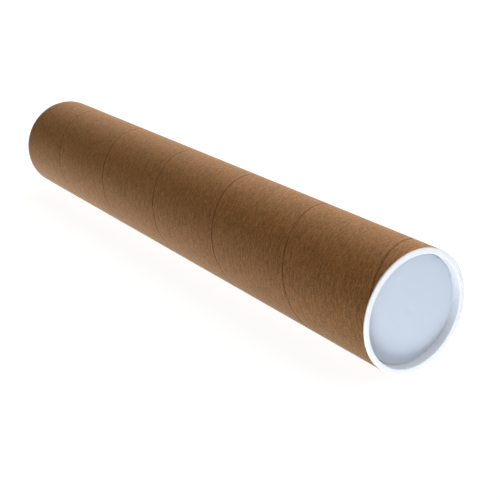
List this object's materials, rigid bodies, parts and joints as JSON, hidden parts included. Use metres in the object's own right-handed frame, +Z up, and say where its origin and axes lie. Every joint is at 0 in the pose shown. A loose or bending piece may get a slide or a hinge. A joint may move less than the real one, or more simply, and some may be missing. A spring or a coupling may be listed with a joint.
{
  "type": "drawing tube",
  "caption": "Spiral-wound kraft paper tube for rolled drawings, with a recessed plastic plug pushed into each end.",
  "frame": {"origin": "on the tube's axis, halfway along its length", "axes": "+X along the tube towards the front plug, +Z up, with the tube lying on its side"},
  "size_m": [0.3064, 0.0508, 0.0508],
  "materials": {
    "kraft_paper": "uncoated brown kraft paper, matt",
    "core_board": "grey-brown recycled tube board, matt",
    "plug_plastic": "white moulded polyethylene, satin"
  },
  "bodies": {
    "tube": {"outer_kraft_ply": "kraft_paper", "core_ply_outer": "core_board", "core_ply_middle": "core_board", "core_ply_inner": "core_board", "inner_liner_ply": "kraft_paper"},
    "front_plug": {"front_plug": "plug_plastic"},
    "rear_plug": {"rear_plug": "plug_plastic"}
  },
  "joints": [
    {"name": "front_plug_pull", "type": "slide", "parent": "tube", "child": "front_plug", "axis": [1, 0, 0], "range_m": [0, 0.02]},
    {"name": "rear_plug_pull", "type": "slide", "parent": "tube", "child": "rear_plug", "axis": [-1, 0, 0], "range_m": [0, 0.02]}
  ]
}
